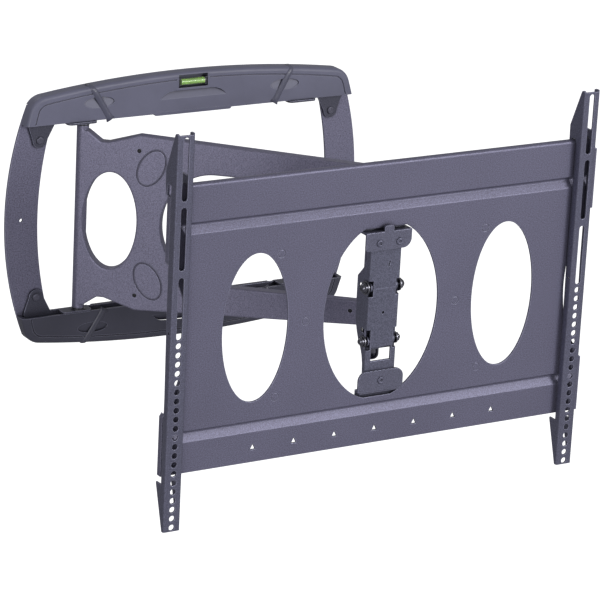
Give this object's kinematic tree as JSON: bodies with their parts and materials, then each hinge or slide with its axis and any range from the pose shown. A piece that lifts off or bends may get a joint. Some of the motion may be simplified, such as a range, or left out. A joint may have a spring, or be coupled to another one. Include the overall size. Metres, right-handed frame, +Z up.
{
  "type": "full motion television wall mount",
  "caption": "Full-motion television wall mount: bowed wall ring, folding two-link arm, swivel and tilt head, slotted plate and hook-on uprights.",
  "frame": {"origin": "on the wall plane, at the middle of the four wall bolts", "axes": "+X along the wall to the right as seen from the room, +Z up, the room is at -Y"},
  "size_m": [0.5245, 0.441, 0.4297],
  "materials": {
    "graphite_steel": "fine-textured powder coat",
    "cover_plastic": "fine-grained moulding",
    "bearing_plastic": "satin",
    "pin_steel": "zinc plated",
    "bolt_chrome": "polished",
    "level_clear": "clear acrylic",
    "level_green": "tinted fluid"
  },
  "bodies": {
    "wall_ring": {"left_side_strip": "graphite_steel", "right_side_strip": "graphite_steel", "top_crossbar": "graphite_steel", "bottom_crossbar": "graphite_steel", "top_cover": "cover_plastic", "bottom_cover": "cover_plastic", "top_cover_clips": "cover_plastic", "bottom_cover_clips": "cover_plastic", "corner_rivets": "graphite_steel", "level_vial": "level_clear", "level_fluid": "level_green", "level_holders": "cover_plastic", "wall_hinge_pin": "pin_steel", "wall_hinge_washers": "pin_steel"},
    "wall_arm": {"wall_arm_plate": "graphite_steel", "cable_hole_plugs": "bearing_plastic", "wall_hinge_bushes": "bearing_plastic", "elbow_pin": "pin_steel", "elbow_pin_clip": "pin_steel", "elbow_washers": "pin_steel"},
    "front_arm": {"front_arm_plate": "graphite_steel", "front_arm_elbow_tube": "graphite_steel", "front_arm_swivel_tube": "graphite_steel", "elbow_bushes": "bearing_plastic", "swivel_bushes": "bearing_plastic"},
    "swivel_head": {"swivel_bracket": "graphite_steel", "swivel_pin": "bolt_chrome", "swivel_cap_nut": "bolt_chrome", "swivel_nut_washer": "pin_steel", "swivel_washers": "pin_steel", "tilt_pivot_bolt": "bolt_chrome", "tilt_pivot_nut": "bolt_chrome", "tilt_pivot_washers": "pin_steel", "tilt_guide_bolt": "bolt_chrome", "tilt_guide_nut": "bolt_chrome", "tilt_guide_washers": "pin_steel"},
    "tilt_head": {"tilt_channel": "graphite_steel", "hook_plate": "graphite_steel", "latch_plate": "graphite_steel", "hook_screws": "graphite_steel", "latch_screw": "graphite_steel", "tv_plate": "graphite_steel"},
    "left_rail": {"left_rail": "graphite_steel"},
    "right_rail": {"right_rail": "graphite_steel"}
  },
  "joints": [
    {"name": "wall_hinge", "type": "hinge", "parent": "wall_ring", "child": "wall_arm", "pos_m": [-0.14, -0.012, 0], "axis": [0, 0, -1], "range_deg": [-36, 60]},
    {"name": "elbow_hinge", "type": "hinge", "parent": "wall_arm", "child": "front_arm", "pos_m": [0.11816, -0.23017, 0], "axis": [0, 0, -1], "range_deg": [-80, 30]},
    {"name": "head_swivel", "type": "hinge", "parent": "front_arm", "child": "swivel_head", "pos_m": [0.0075, -0.4135, 0], "axis": [0, 0, -1], "range_deg": [-21, 45]},
    {"name": "head_tilt", "type": "hinge", "parent": "swivel_head", "child": "tilt_head", "pos_m": [0.0075, -0.428, -0.033], "axis": [1, 0, 0], "range_deg": [-2, 12]},
    {"name": "left_rail_slide", "type": "slide", "parent": "tilt_head", "child": "left_rail", "axis": [1, 0, 0], "range_m": [-0.008, 0.19]},
    {"name": "right_rail_slide", "type": "slide", "parent": "tilt_head", "child": "right_rail", "axis": [1, 0, 0], "range_m": [-0.19, 0.012]}
  ]
}
